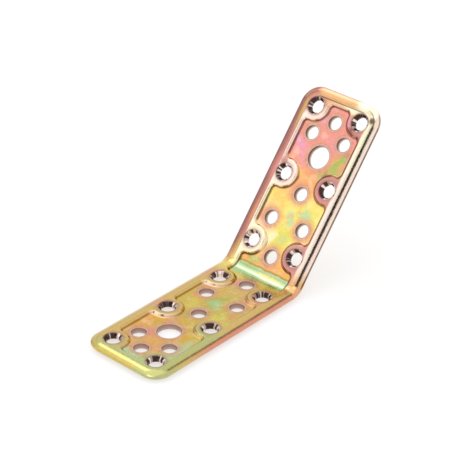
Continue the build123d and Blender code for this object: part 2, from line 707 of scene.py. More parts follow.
            def on_panel_at(s: float, y: float) -> bool:
                """Whether a place is on the panel."""
                return clear(sunken, s, y, -EDGE_SLACK) and inside(foot, s, y)

            room, foot_room = self.wall_room, self.foot_room
            land_points = self.grid(
                sizes.half_flat,
                sizes.flat_end,
                lambda s, y: on_land_at(s, y) and clear(raised, s, y, room) and not near(brim + rim, s, y, room),
            )
            panel_points = self.grid(
                sizes.half_flat,
                sizes.flat_end,
                lambda s, y: on_panel_at(s, y) and clear(sunken, s, y, room) and not near(foot, s, y, foot_room),
            )
            mesh.fill(land_rings, land_points, land_height, up, on_land_at)
            mesh.fill(panel_rings, panel_points, land_height - depth, up, on_panel_at)

    def liner_object(self, kind: HoleKind) -> bpy.types.Object:
        """Makes the wall of one sort of hole round the origin."""
        liner, mesh = self.liners[kind], SheetMesh()
        rings = []
        for at in liner.section:
            ring = []
            for step, (place, way) in enumerate(liner.circle((0.0, 0.0), at.out)):
                angle = 2 * math.pi * step / liner.segments
                dent = liner.flute(angle, at.out)
                behind, ahead = liner.flute(angle - SMALL_TURN, at.out), liner.flute(angle + SMALL_TURN, at.out)
                lean = (ahead - behind) / (2 * SMALL_TURN * at.out)
                sideways = (way[0] * at.normal_out - way[1] * lean, way[1] * at.normal_out + way[0] * lean)
                normal = Vector((*sideways, at.normal_up)).normalized()
                depth = (liner.mouth - CONE_START - at.out) / CONE_FADE
                cone = min(1.0, max(0.0, depth)) if kind is HoleKind.COUNTERSUNK else 0.0
                ring.append(
                    mesh.add(
                        (place[0] - way[0] * dent * at.normal_out, place[1] - way[1] * dent * at.normal_out),
                        at.height - dent * at.normal_up,
                        tuple(normal),
                        (0.0, 0.0, cone),
                        (way[0], way[1], at.out),
                    )
                )
            rings.append(ring)
        for outer, inner in zip(rings, rings[1:]):
            mesh.bridge(outer, inner)
        return mesh.to_object(f"liner_{kind.name.lower()}")

    def places_object(self) -> bpy.types.Object:
        """Makes the loose points that mark where the holes are, each with its kind."""
        mesh = bpy.data.meshes.new("hole_places")
        mesh.from_pydata([(centre[0] * MM, centre[1] * MM, 0.0) for _, centre in self.holes], [], [])
        layer = mesh.attributes.new("hole_kind", "INT", "POINT")
        layer.data.foreach_set("value", [kind.value for kind, _ in self.holes])
        made = bpy.data.objects.new("hole_places", mesh)
        bpy.context.scene.collection.objects.link(made)
        return made


@dataclass(frozen=True)
class Noise:
    """A cloudy noise: how fine its clouds are, its levels of detail and how strong those are."""

    scale: float
    detail: float
    roughness: float = 0.5


class Wiring:
    """Adds nodes to a tree and joins them."""

    def __init__(self, tree: bpy.types.NodeTree) -> None:
        """Keeps the tree that the nodes go into."""
        self.tree = tree

    def add(self, kind: str, inputs: Optional[dict] = None, **settings: object) -> bpy.types.Node:
        """Adds a node.

        Args:
            kind: Type name of the node.
            inputs: Values or output sockets for its inputs, by name or number.
            settings: Properties of the node.

        Returns:
            The node.
        """
        node = self.tree.nodes.new(kind)
        for name, value in settings.items():
            setattr(node, name, value)
        for key, value in (inputs or {}).items():
            if isinstance(value, Socket):
                self.tree.links.new(value, node.inputs[key])
            else:
                node.inputs[key].default_value = value
        return node

    def math(self, operation: str, first: Value, second: Value = 0.0, clamp: bool = False) -> Socket:
        """Adds a sum of one or two values and gives its result."""
        node = self.add("ShaderNodeMath", {0: first, 1: second}, operation=operation, use_clamp=clamp)
        return node.outputs[0]

    def times(self, first: Value, *others: Value, clamp: bool = False) -> Socket:
        """Multiplies values, one after the other."""
        for other in others:
            first = self.math("MULTIPLY", first, other, clamp)
        return first

    def plus(self, first: Value, second: Value, clamp: bool = False) -> Socket:
        """Adds two values."""
        return self.math("ADD", first, second, clamp)

    def minus(self, first: Value, second: Value) -> Socket:
        """Takes the second value from the first."""
        return self.math("SUBTRACT", first, second)

    def absolute(self, value: Value) -> Socket:
        """Takes the sign off a value."""
        return self.math("ABSOLUTE", value)

    def length(self, vector: Socket) -> Socket:
        """Length of a vector."""
        return self.add("ShaderNodeVectorMath", {0: vector}, operation="LENGTH").outputs["Value"]

    def vector(self, operation: str, first: Paint, second: Paint) -> Socket:
        """Adds a sum of two vectors and gives its result."""
        return self.add("ShaderNodeVectorMath", {0: first, 1: second}, operation=operation).outputs[0]

    def scaled(self, vector: Socket, scale: Value) -> Socket:
        """Multiplies a vector or a colour by a number."""
        return self.add("ShaderNodeVectorMath", {0: vector, "Scale": scale}, operation="SCALE").outputs[0]

    def between(
        self,
        value: Socket,
        low: float,
        high: float,
        start: float = 0.0,
        stop: float = 1.0,
        smooth: bool = True,
    ) -> Socket:
        """Carries a value from one range to another.

        Args:
            value: The value.
            low: Where the result is start.
            high: Where the result is stop.
            start: Result at low and past it.
            stop: Result at high and past it.
            smooth: Whether the change eases in and out.

        Returns:
            The result.
        """
        kind = "SMOOTHSTEP" if smooth else "LINEAR"
        node = self.add("ShaderNodeMapRange", {0: value, 1: low, 2: high, 3: start, 4: stop}, interpolation_type=kind)
        return node.outputs[0]

    def separate(self, vector: Socket) -> tuple[Socket, ...]:
        """Splits a vector into its three parts."""
        return tuple(self.add("ShaderNodeSeparateXYZ", {0: vector}).outputs)

    def combine(self, x: Value, y: Value, z: Value) -> Socket:
        """Makes a vector of three parts."""
        return self.add("ShaderNodeCombineXYZ", {0: x, 1: y, 2: z}).outputs[0]

    def noise(self, place: Socket, noise: Noise) -> bpy.types.Node:
        """Adds a cloudy noise."""
        values = {"Vector": place, "Scale": noise.scale, "Detail": noise.detail, "Roughness": noise.roughness}
        return self.add("ShaderNodeTexNoise", values)

    def mix(self, share: Value, first: Paint, second: Paint) -> Socket:
        """Mixes two colours by a share."""
        colours = [paint if isinstance(paint, Socket) else (*paint, 1.0) for paint in (first, second)]
        return self.add("ShaderNodeMix", {0: share, 6: colours[0], 7: colours[1]}, data_type="RGBA").outputs[2]

    def ramp(self, value: Socket, stops: list[tuple[float, Colour]]) -> Socket:
        """Adds a ramp of colours.

        Args:
            value: What the ramp runs along.
            stops: Values, from low to high, and the colour at each.

        Returns:
            The colour.
        """
        low, high = stops[0][0], stops[-1][0]
        ramp = self.add("ShaderNodeValToRGB", {0: self.between(value, low, high, smooth=False)})
        points = ramp.color_ramp.elements
        while len(points) < len(stops):
            points.new(0.5)
        for point, (at, _) in zip(points, stops):
            point.position = (at - low) / (high - low)
        for point, (_, colour) in zip(points, stops):
            point.color = (*colour, 1.0)
        return ramp.outputs[0]


class FoldTree:
    """Node tree that lines the holes of a flat pattern and folds it along the bend."""

    def __init__(self) -> None:
        """Builds the tree with its named inputs."""
        self.tree = bpy.data.node_groups.new("line_and_fold", "GeometryNodeTree")
        self.sockets: dict[str, str] = {}
        face = self.tree.interface
        face.new_socket("Geometry", in_out="INPUT", socket_type="NodeSocketGeometry")
        for name, kind in (
            ("Hole places", "NodeSocketObject"),
            ("Countersunk liner", "NodeSocketObject"),
            ("Plain liner", "NodeSocketObject"),
            ("Large liner", "NodeSocketObject"),
            ("Bend radius", "NodeSocketFloat"),
            ("Bend angle", "NodeSocketFloat"),
            ("Shift", "NodeSocketVector"),
            ("Finish", "NodeSocketMaterial"),
        ):
            self.sockets[name] = face.new_socket(name, in_out="INPUT", socket_type=kind).identifier
        face.new_socket("Geometry", in_out="OUTPUT", socket_type="NodeSocketGeometry")
        self.wire = Wiring(self.tree)
        self.source = self.tree.nodes.new("NodeGroupInput")
        solid = self.wire.add("GeometryNodeRealizeInstances", {0: self.folded(self.lined())})
        dressed = self.wire.add("GeometryNodeSetMaterial", {"Geometry": solid.outputs[0]})
        self.tree.links.new(self.source.outputs["Finish"], dressed.inputs["Material"])
        end = self.tree.nodes.new("NodeGroupOutput")
        self.tree.links.new(dressed.outputs[0], end.inputs[0])

    def lined(self) -> Socket:
        """Sets a liner in each hole and welds it to the sheet."""
        wire, source = self.wire, self.source
        places = wire.add("GeometryNodeObjectInfo", {0: source.outputs["Hole places"]})
        kind = wire.add("GeometryNodeInputNamedAttribute", {"Name": "hole_kind"}, data_type="INT")
        join = wire.add("GeometryNodeJoinGeometry")
        self.tree.links.new(source.outputs["Geometry"], join.inputs[0])
        for name, hole in (
            ("Countersunk liner", HoleKind.COUNTERSUNK),
            ("Plain liner", HoleKind.PLAIN),
            ("Large liner", HoleKind.LARGE),
        ):
            liner = wire.add("GeometryNodeObjectInfo", {0: source.outputs[name]})
            same = wire.add("FunctionNodeCompare", data_type="INT", operation="EQUAL")
            self.tree.links.new(kind.outputs["Attribute"], same.inputs[2])
            same.inputs[3].default_value = hole.value
            put = wire.add(
                "GeometryNodeInstanceOnPoints",
                {
                    "Points": places.outputs["Geometry"],
                    "Selection": same.outputs[0],
                    "Instance": liner.outputs["Geometry"],
                },
            )
            self.tree.links.new(put.outputs[0], join.inputs[0])
        real = wire.add("GeometryNodeRealizeInstances", {0: join.outputs[0]})
        weld = wire.add("GeometryNodeMergeByDistance", {"Geometry": real.outputs[0], "Distance": WELD_DISTANCE})
        return weld.outputs[0]

    def folded(self, geometry: Socket) -> Socket:
        """Folds the lined sheet, and turns its stored normals with it.

        Args:
            geometry: The flat sheet.

        Returns:
            The folded sheet.
        """
        wire, source = self.wire, self.source
        radius, angle = source.outputs["Bend radius"], source.outputs["Bend angle"]
        place = wire.add("GeometryNodeInputPosition").outputs[0]
        along, across, height = wire.separate(place)
        half_angle = wire.times(angle, 0.5)
        half_length = wire.times(radius, half_angle)
        on_bend = wire.add(
            "ShaderNodeClamp", {"Value": along, "Min": wire.times(half_length, -1.0), "Max": half_length}
        ).outputs[0]
        beyond = wire.minus(along, on_bend)
        turned = wire.plus(wire.math("DIVIDE", on_bend, radius), half_angle)
        sine, cosine = wire.math("SINE", turned), wire.math("COSINE", turned)
        arm = wire.minus(radius, height)
        axis_x = wire.times(radius, wire.math("TANGENT", half_angle))
        x = wire.plus(wire.times(arm, sine), wire.times(beyond, cosine))
        x = wire.minus(x, axis_x)
        z = wire.minus(wire.times(beyond, sine), wire.times(arm, cosine))
        z = wire.plus(z, radius)
        moved = wire.vector("ADD", wire.combine(x, across, z), source.outputs["Shift"])
        flat = wire.add("GeometryNodeInputNamedAttribute", {"Name": "flat_normal"}, data_type="FLOAT_VECTOR")
        lean, side, up = wire.separate(flat.outputs["Attribute"])
        in_bend = wire.math("LESS_THAN", wire.absolute(beyond), BEND_SLACK)
        stretch = wire.math("DIVIDE", radius, arm)
        gain = wire.plus(1.0, wire.times(in_bend, wire.minus(stretch, 1.0)))
        lean = wire.times(lean, gain)
        normal_x = wire.minus(wire.times(lean, cosine), wire.times(up, sine))
        normal_z = wire.plus(wire.times(lean, sine), wire.times(up, cosine))
        normal = wire.add(
            "ShaderNodeVectorMath", {0: wire.combine(normal_x, side, normal_z)}, operation="NORMALIZE"
        ).outputs[0]
        for label, value in (("sheet_place", wire.scaled(place, 1 / MM)), ("sheet_normal", normal)):
            store = wire.add(
                "GeometryNodeStoreNamedAttribute",
                {"Geometry": geometry, "Name": label, "Value": value},
                data_type="FLOAT_VECTOR",
                domain="POINT",
            )
            geometry = store.outputs[0]
        bend = wire.add("GeometryNodeSetPosition", {"Geometry": geometry, "Position": moved})
        return bend.outputs[0]

    def apply(self, sheet: bpy.types.Object, values: dict[str, object]) -> bpy.types.Mesh:
        """Runs the tree on the flat sheet.

        Args:
            sheet: Object of the flat sheet.
            values: A value for each of the tree's inputs.

        Returns:
            The folded sheet as a plain mesh.
        """
        modifier = sheet.modifiers.new("line_and_fold", "NODES")
        modifier.node_group = self.tree
        for name, value in values.items():
            modifier[self.sockets[name]] = value
        graph = bpy.context.evaluated_depsgraph_get()
        graph.update()
        final = sheet.evaluated_get(graph)
        made = bpy.data.meshes.new_from_object(final, preserve_all_data_layers=True, depsgraph=graph)
        sheet.modifiers.remove(modifier)
        return made


DRIFT, DRIFT_REACH = Noise(0.16, 3.0), 9.0
BLOTCH = Noise(0.24, 4.0, 0.55)
STREAK = Noise(1.7, 3.0, 0.6)
GRAIN = Noise(1.3, 6.0, 0.65)
WAVE = Noise(0.35, 2.0)


def from_screen(red: float, green: float, blue: float) -> Colour:
    """Turns a screen colour of 0 to 255 into the values that shaders use."""

    def level(value: float) -> float:
        """One channel."""
        part = value / 255
        return part / 12.92 if part <= 0.04045 else ((part + 0.055) / 1.055) ** 2.4

    return (level(red), level(green), level(blue))


@dataclass(frozen=True)
class Tint:
    """A soft patch of colour in the passivation."""

    colour: Colour
    s: float
    y: float
    length: float
    width: float
    strength: float = 1.0


@dataclass(frozen=True)
class RimShadeLine:
    """A dark line of painted shade along the rolled edge, standing in for a dark reflection; its places are shares of
    the edge's width.
    """

    start: float
    full: float
    stop: float
    end: float
    depth: float


@dataclass(frozen=True)
class ZincFades:
    """Where the colours of the finish change into each other.

    Each gives the value at which a change starts and the one at which it is complete, and where they
    are not 0 and 1 the shares there. Places are in millimetres on the flat pattern. The three whose
    names end in legs are shares on the lower leg and on the upper.
    """

    raised: Fade = (-0.7, -0.15)
    upper_leg: Fade = (-1.0, 2.0)
    rim: Fade = (0.0, 0.14)
    left_rim: Fade = (13.3, 13.9)
    right_rim: Fade = (-12.6, -13.5)
    tint: Fade = (0.35, 1.25)
    grain: Fade = (0.3, 0.7)
    orange_clouds: Fade = (0.52, 0.72, 0.0, 0.4)
    cream_clouds: Fade = (0.5, 0.28, 0.0, 0.3)
    band_start: Fade = (-4.0, -2.0, 0.0, 0.9)
    band_end: Fade = (1.5, 1.9, 1.0, 0.0)
    band_line: Fade = (0.1, 0.6, 0.6, 0.0)
    land_side: Fade = (-2.0, 2.0)
    rim_side: Fade = (-9.0, -4.0)
    right_tip: Fade = (0.45, 0.68)
    left_tip: Fade = (0.45, 1.05)
    rim_lines_side: Fade = (-9.5, -11.5)
    rim_lines_start: Fade = (0.5, 3.0)
    rim_lines_end: Fade = (67.0, 69.5, 1.0, 0.0)
    wall: Fade = (0.05, 0.5)
    wall_foot: Fade = (-0.35, -0.6)
    calm: Fade = (3.5, 6.0)
    far_wall: Fade = (0.03, 0.2)
    far_wall_at_rim: Fade = (0.0, 0.1, 1.0, 0.3)
    line_inside: Fade = (0.08, 0.24, 0.0, 0.9)
    line_outside: Fade = (0.5, 0.42)
    line_legs: Fade = (0.4, 1.0)
    pale_wall_along: Fade = (-3.0, -6.0)
    pale_wall_across: Fade = (0.0, 5.0)
    end_crease: Fade = (0.05, 0.4, 0.75, 0.0)
    end_crease_height: Fade = (-0.3, -0.1)
    end_crease_across: Fade = (11.5, 9.0)
    bore_far_side: Fade = (0.0, 0.8, 0.0, 0.8)
    bore_foot: Fade = (-1.7, -2.7)
    bore_foot_legs: Fade = (0.3, 0.85)
    streak_level: Fade = (-0.6, 0.6, 0.5, 0.40)
    halo: Fade = (0.2, 3.2, 0.9, 0.0)
    halo_legs: Fade = (0.55, 0.85)
    mouth_highlight: Fade = (0.15, 0.7, 0.4, 0.0)


@dataclass(frozen=True)
class SheetSockets:
    """What the finish reads from the sheet, as sockets of its node tree."""

    place: Socket
    loose: Socket
    blotch: Socket
    along: Socket
    across: Socket
    height: Socket
    wall: Socket
    rim: Socket
    cone: Socket
    lean_along: Socket
    lean_across: Socket
    spoke_along: Socket
    spoke_across: Socket
    gap: Socket

    @classmethod
    def read(cls, wire: Wiring) -> "SheetSockets":
        """Adds the nodes that read the sheet's attributes.

        Args:
            wire: Wiring of the finish's tree.

        Returns:
            The sockets.
        """

        def attribute(name: str) -> Socket:
            """Reads one attribute as a vector."""
            return wire.add("ShaderNodeAttribute", attribute_name=name).outputs["Vector"]

        place = attribute("sheet_place")
        drift = wire.noise(place, DRIFT)
        shift = wire.vector("SUBTRACT", drift.outputs["Color"], (0.5, 0.5, 0.5))
        loose = wire.vector("ADD", place, wire.scaled(shift, DRIFT_REACH))
        blotch = wire.noise(place, BLOTCH)
        along, across, height = wire.separate(place)
        wall, rim, cone = wire.separate(attribute("relief"))
        lean_along, lean_across, _ = wire.separate(attribute("flat_normal"))
        spoke_along, spoke_across, _ = wire.separate(attribute("spoke"))
        gap = wire.add("ShaderNodeAttribute", attribute_name="hole_gap").outputs["Fac"]
        return cls(
            place, loose, blotch.outputs["Fac"], along, across, height, wall, rim, cone,
            lean_along, lean_across, spoke_along, spoke_across, gap,
        )  # fmt: skip


@dataclass(frozen=True)
class PassivatedZinc:
    """Yellow passivated zinc plating: a thin film whose colour drifts with its thickness, with shade, highlights and
    reflections painted into the colour as well.
    """

    cream: Colour = from_screen(250, 238, 204)
    blush: Colour = from_screen(252, 228, 212)
    yellow: Colour = from_screen(244, 221, 124)
    gold: Colour = from_screen(208, 182, 92)
    straw: Colour = from_screen(214, 182, 112)
    ochre: Colour = from_screen(214, 174, 72)
    orange: Colour = from_screen(236, 168, 98)
    peach: Colour = from_screen(230, 180, 128)
    salmon: Colour = from_screen(220, 150, 122)
    pink: Colour = from_screen(232, 150, 144)
    mauve: Colour = from_screen(228, 158, 186)
    rosewood: Colour = from_screen(194, 132, 122)
    heather: Colour = from_screen(166, 116, 110)
    rose: Colour = from_screen(204, 142, 134)
    tan: Colour = from_screen(218, 166, 116)
    coral: Colour = from_screen(226, 176, 156)
    oat: Colour = from_screen(232, 214, 188)
    mint: Colour = from_screen(176, 212, 166)
    sage: Colour = from_screen(190, 190, 124)
    lime: Colour = from_screen(216, 208, 98)
    leaf: Colour = from_screen(160, 182, 96)
    moss: Colour = from_screen(120, 132, 70)
    # Brown and sienna serve only as painted shade.
    shade_brown: Colour = from_screen(88, 50, 36)
    shade_sienna: Colour = from_screen(150, 86, 40)
    umber: Colour = from_screen(50, 25, 22)
    plum: Colour = from_screen(150, 114, 110)
    glint: Colour = from_screen(252, 228, 218)
    roughness: float = 0.15
    roughness_swing: tuple[float, float] = (-0.04, 0.06)
    shade_swing: tuple[float, float] = (0.88, 1.08)
    grain_height: float = 0.012
    wave_strength: float = 0.22
    wave_height: float = 0.00015
    panel_wobble: float = 2.0
    rim_wobble: float = 3.0
    band_line_place: float = 2.0
    calm_place: float = 12.0
    end_crease_place: float = 66.8
    wall_middle: float = 0.5
    # How strongly the painted foot shade follows the way a wall faces, and how dark it is, on the upper and lower
    # legs.
    upper_foot_gain: float = -1.3
    upper_foot_strength: float = 0.92
    lower_foot_gain: float = -1.2
    lower_foot_strength: float = 0.9
    # How strongly the lower leg's walls that face its end take the painted highlight.
    pale_wall_gain: float = -1.4
    pale_wall_strength: float = 0.75
    bore_strength: float = 0.85
    streak_width: float = 0.07
    streak_strength: float = 0.97
    streak_shift: float = 0.01
    # Dark lines of painted shade along the right rolled edge, in place of dark reflections.
    rim_shade_lines: tuple[RimShadeLine, ...] = (RimShadeLine(0.32, 0.38, 0.46, 0.52, 0.72), RimShadeLine(0.81, 0.87, 0.93, 0.98, 0.6))
    fades: ZincFades = ZincFades()

    def panel_stops(self) -> list[tuple[float, Colour]]:
        """Colours of the sunken panel along the sheet, from the lower end to the upper."""
        return [
            (-68, self.sage), (-60, self.straw), (-46, self.ochre), (-34, self.gold), (-20, self.gold),
            (-9, self.straw), (-3, self.lime), (3, self.orange), (12, self.yellow), (29, self.yellow),
            (37, self.orange), (45, self.pink), (66, self.pink),
        ]  # fmt: skip

    def left_land_stops(self) -> list[tuple[float, Colour]]:
        """Colours of the lands on the left along the sheet."""
        return [
            (-68, self.sage), (-60, self.straw), (-8, self.straw), (-2, self.yellow), (4, self.cream),
            (28, self.cream), (34, self.blush), (60, self.blush), (67, self.peach),
        ]  # fmt: skip

    def right_land_stops(self) -> list[tuple[float, Colour]]:
        """Colours of the lands on the right along the sheet."""
        return [
            (-68, self.sage), (-42, self.sage), (-32, self.straw), (-6, self.straw), (-1, self.peach),
            (5, self.rose), (60, self.rose), (65, self.peach), (67, self.cream),
        ]  # fmt: skip

    def left_rim_stops(self) -> list[tuple[float, Colour]]:
        """Colours of the left rolled edge beside the land; the rosewood on the upper leg is film colour darkened as
        painted shade.
        """
        return [
            (-71, self.gold), (-68, self.sage), (-64, self.straw), (-8, self.straw), (-2, self.yellow),
            (2, self.peach), (7, self.rosewood), (65, self.rosewood), (66.9, self.peach), (67.6, self.peach),
            (68.5, self.tan), (71, self.tan),
        ]  # fmt: skip

    def left_tip_stops(self) -> list[tuple[float, Colour]]:
        """Colours of the left rolled edge towards its tip; the heather on the upper leg is film colour darkened as
        painted shade.
        """
        return [
            (-71, self.gold), (-66, self.straw), (-62, self.oat), (-6, self.oat), (0, self.peach),
            (6, self.heather), (66, self.heather), (68, self.tan), (69.5, self.coral), (71, self.coral),
        ]  # fmt: skip

    def right_rim_stops(self) -> list[tuple[float, Colour]]:
        """Colours of the right rolled edge beside the land; the cream towards the upper end is partly painted
        highlight at the upper right corner.
        """
        return [
            (-71, self.gold), (-68, self.sage), (-40, self.sage), (-32, self.straw), (-4, self.straw),
            (2, self.peach), (8, self.blush), (40, self.blush), (52, self.cream), (71, self.cream),
        ]  # fmt: skip

    def right_tip_stops(self) -> list[tuple[float, Colour]]:
        """Colours of the right rolled edge towards its tip; the cream at the upper end is partly painted highlight at
        the upper right corner.
        """
        return [
            (-71, self.sage), (-64, self.sage), (-56, self.straw), (-44, self.salmon), (-4, self.salmon),
            (3, self.peach), (8, self.blush), (66, self.blush), (71, self.cream),
        ]  # fmt: skip

    def panel_tints(self) -> list[Tint]:
        """Patches of the panel where the film is thicker or thinner than round them."""
        return [
            Tint(self.leaf, 46, -9, 6, 3.5, 0.95),
            Tint(self.leaf, 41, -5.5, 3.4, 2, 0.7),
            Tint(self.moss, 41.5, -6, 2.2, 1.2, 0.7),
            Tint(self.moss, 49.5, -10.8, 1.8, 1.8, 0.6),
            Tint(self.orange, 46.5, -6.4, 2.4, 1.2, 0.6),
            Tint(self.tan, 44.5, -11, 1.6, 1.6, 0.6),
            Tint(self.lime, 15, -1, 6, 6, 0.85),
            Tint(self.lime, 25, -7, 4, 5, 0.8),
            Tint(self.mint, 25.5, -5.5, 3, 2.4, 0.75),
            Tint(self.mint, 22.5, 0, 3.2, 2.6, 0.8),
            Tint(self.mint, 14, -1, 2.2, 3.0, 0.4),
            Tint(self.orange, 29, 6, 4.5, 4.5, 0.45),
            Tint(self.peach, 20, 10.5, 8, 4.5, 0.9),
            Tint(self.salmon, 19, 9, 3, 3.5, 0.5),
            Tint(self.peach, 19.5, -9.5, 5, 4, 0.75),
            Tint(self.cream, 12, 4.5, 5, 2.6, 0.7),
            Tint(self.cream, 16.5, 9, 2.4, 4, 0.5),
            Tint(self.leaf, 4, 5, 1.6, 6, 0.7),
            Tint(self.salmon, 33, 2, 4, 4.5, 0.6),
            Tint(self.mauve, 49, 9, 4, 3, 0.9),
            Tint(self.mauve, 52.5, -5, 3, 3, 0.8),
            Tint(self.mauve, 59, 4, 3, 3, 0.6),
            Tint(self.mauve, 44, 6, 2.4, 3, 0.5),
            Tint(self.sage, 57.5, 8.5, 1.8, 2.6, 0.6),
            Tint(self.yellow, 38.5, 7, 3, 4, 0.5),
            Tint(self.cream, 36, -1, 2.4, 1.8, 0.3),
            Tint(self.leaf, -23, 0, 6, 4, 0.7),
            Tint(self.mint, -24, 0, 3, 2, 0.5),
            Tint(self.lime, -30, -8, 4, 4, 0.7),
            Tint(self.mint, -51, -10.5, 8, 3, 0.8),
            Tint(self.mint, -65, 0, 2.2, 9, 0.8),
            Tint(self.orange, -57, -3, 3, 4, 0.5),
            Tint(self.pink, -43, 2, 2.2, 2.2, 0.6),
            Tint(self.salmon, -26, -9.5, 3, 1.8, 0.5),
            Tint(self.leaf, -34, 3, 3, 2.2, 0.5),
            Tint(self.mint, -13, 8, 2.5, 2.5, 0.4),
            Tint(self.lime, -28, 6, 4, 2.5, 0.6),
            Tint(self.orange, -46, 10, 7, 3, 0.8),
            Tint(self.orange, -52, 0, 6, 3, 0.6),
            Tint(self.pink, -50.5, 5, 3, 2.5, 0.9),
            Tint(self.salmon, -39, 4, 3, 3, 0.5),
            Tint(self.pink, -7, 3, 2.6, 2.6, 0.9),
            Tint(self.salmon, -21, 4.8, 1.8, 1.6, 0.8),
            Tint(self.salmon, -17.5, 9.5, 2.2, 2.2, 0.8),
            Tint(self.orange, -24, 9.5, 2.2, 2, 0.8),
            Tint(self.pink, -44, -1, 3, 2.2, 0.5),
            Tint(self.salmon, -15, -7, 4, 3, 0.6),
            Tint(self.orange, -20, 8, 6, 3, 0.6),
        ]

    def bend_tints(self) -> list[Tint]:
        """Patches in the green band of the bend; the yellow and cream ones are painted highlight, the leaf ones film
        colour.
        """
        return [
            # The yellow and cream patches are painted highlight.
            Tint(self.yellow, 0.4, -3.5, 0.9, 6, 0.6),
            Tint(self.cream, -0.9, -4, 0.8, 5, 0.5),
            Tint(self.leaf, 1.0, 7, 0.8, 5, 0.5),
            Tint(self.leaf, -2.4, -8, 1.2, 5, 0.5),
        ]

    def land_tints(self) -> list[Tint]:
        """Patches of the lands where the film is thicker or thinner than round them; the brown one beside the upper
        right boss is painted shade.
        """
        return [
            Tint(self.rosewood, 40, 12.5, 4, 2.5, 0.85),
            Tint(self.rose, 66, 10, 3.2, 5, 0.95),
            Tint(self.rosewood, 62.5, 13.4, 4, 1.6, 0.8),
            # Painted shade beside the upper leg's last right boss.
            Tint(self.shade_brown, 57.8, -9.5, 1.6, 3, 0.6),
            Tint(self.salmon, -9, 13, 3.5, 2, 0.7),
            Tint(self.salmon, -36, 13, 3.5, 2, 0.7),
            Tint(self.salmon, -14, -11.5, 6, 2.5, 0.6),
            Tint(self.peach, -2, -13, 4, 2, 0.7),
            Tint(self.pink, 35, -9.5, 4, 2.6, 0.6),
            Tint(self.pink, -10, 14, 3.5, 1.6, 0.8),
            Tint(self.pink, -37, 14, 3.0, 1.6, 0.8),
            Tint(self.salmon, -17, -10.5, 2.5, 2, 0.7),
            Tint(self.lime, -28, -12.8, 6, 1.2, 0.7),
            Tint(self.mauve, 62, -6, 3, 3, 0.5),
            Tint(self.coral, 14, -8, 3, 3, 0.5),
            Tint(self.mint, -66.4, -3, 2.0, 9, 0.5),
            Tint(self.mint, -57, -12, 4, 2.5, 0.5),
        ]

    def rim_tints(self) -> list[Tint]:
        """Patches of the rolled edge; the umber one by the upper right corner is a painted dark reflection, the others
        film colour.
        """
        return [
            # Painted dark reflection beside the upper right corner.
            Tint(self.umber, 65.2, -14.3, 1.5, 1.4, 0.85),
            Tint(self.gold, 60, 14.6, 8, 0.9, 0.7),
            Tint(self.rosewood, 68, 14, 3.5, 4, 0.8),
            Tint(self.gold, 6, 14.8, 4, 1.2, 0.6),
            Tint(self.pink, 38, 15.2, 6, 1.6, 0.6),
            Tint(self.orange, 20, 14.8, 6, 0.8, 0.5),
            Tint(self.pink, -10, 15.6, 4, 2.0, 0.5),
            Tint(self.pink, -37, 15.6, 4, 2.0, 0.4),
            Tint(self.sage, -50, 16.2, 5, 1.5, 0.5),
        ]

    def tinted(self, wire: Wiring, place: Socket, colour: Paint, tints: list[Tint]) -> Socket:
        """Lays soft patches over a colour.

        Args:
            wire: Wiring of the finish's tree.
            place: Place in the flat pattern.
            colour: What the patches lie on.
            tints: The patches, the lowest first.

        Returns:
            The colour with its patches.
        """
        for tint in tints:
            away = wire.vector("SUBTRACT", place, (tint.s, tint.y, 0.0))
            away = wire.vector("MULTIPLY", away, (1 / tint.length, 1 / tint.width, 0.0))
            share = wire.between(wire.length(away), *self.fades.tint, tint.strength, 0.0)
            colour = wire.mix(share, colour, tint.colour)
        return colour

    def wobble(self, wire: Wiring, at: SheetSockets, reach: float) -> Socket:
        """An uneven shift to either side of 0, which makes a straight border between colours wander."""
        return wire.times(wire.minus(at.blotch, 0.5), reach)

    def upper_leg(self, wire: Wiring, at: SheetSockets, lower: float = 0.0, upper: float = 1.0) -> Socket:
        """One value on the lower leg and another on the upper, with a soft change in the bend."""
        return wire.between(at.along, *self.fades.upper_leg, lower, upper)

    def panel(self, wire: Wiring, at: SheetSockets) -> Socket:
        """Colour of the sunken panel, with the green band in the bend."""
        loose_along, _, _ = wire.separate(at.loose)
        colour = wire.ramp(loose_along, self.panel_stops())
        colour = self.tinted(wire, at.loose, colour, self.panel_tints())
        colour = wire.mix(wire.between(at.blotch, *self.fades.orange_clouds), colour, self.orange)
        colour = wire.mix(wire.between(at.blotch, *self.fades.cream_clouds), colour, self.cream)
        along = wire.plus(at.along, self.wobble(wire, at, self.panel_wobble))
        below = wire.between(along, *self.fades.band_start)
        above = wire.between(along, *self.fades.band_end)
        band = self.tinted(wire, at.place, self.mint, self.bend_tints())
        colour = wire.mix(wire.times(below, above), colour, band)
        edge = wire.between(wire.absolute(wire.minus(along, self.band_line_place)), *self.fades.band_line)
        return wire.mix(edge, colour, self.moss)

    def land(self, wire: Wiring, at: SheetSockets) -> Socket:
        """Colour of the raised lands."""
        loose_along, _, _ = wire.separate(at.loose)
        left = wire.ramp(loose_along, self.left_land_stops())
        right = wire.ramp(loose_along, self.right_land_stops())
        colour = wire.mix(wire.between(at.across, *self.fades.land_side), right, left)
        return self.tinted(wire, at.loose, colour, self.land_tints())

    def rolled(self, wire: Wiring, at: SheetSockets) -> Socket:
        """Colour of the rolled edge, with dark lines of painted shade along its right side."""
        wobble = self.wobble(wire, at, self.rim_wobble)
        along = wire.plus(at.along, wobble)
        sides = []
        for beside, tip, fade in (
            (self.right_rim_stops(), self.right_tip_stops(), self.fades.right_tip),
            (self.left_rim_stops(), self.left_tip_stops(), self.fades.left_tip),
        ):
            share = wire.between(at.rim, *fade)
            sides.append(wire.mix(share, wire.ramp(along, beside), wire.ramp(along, tip)))
        colour = wire.mix(wire.between(wire.plus(at.across, wobble), *self.fades.rim_side), *sides)
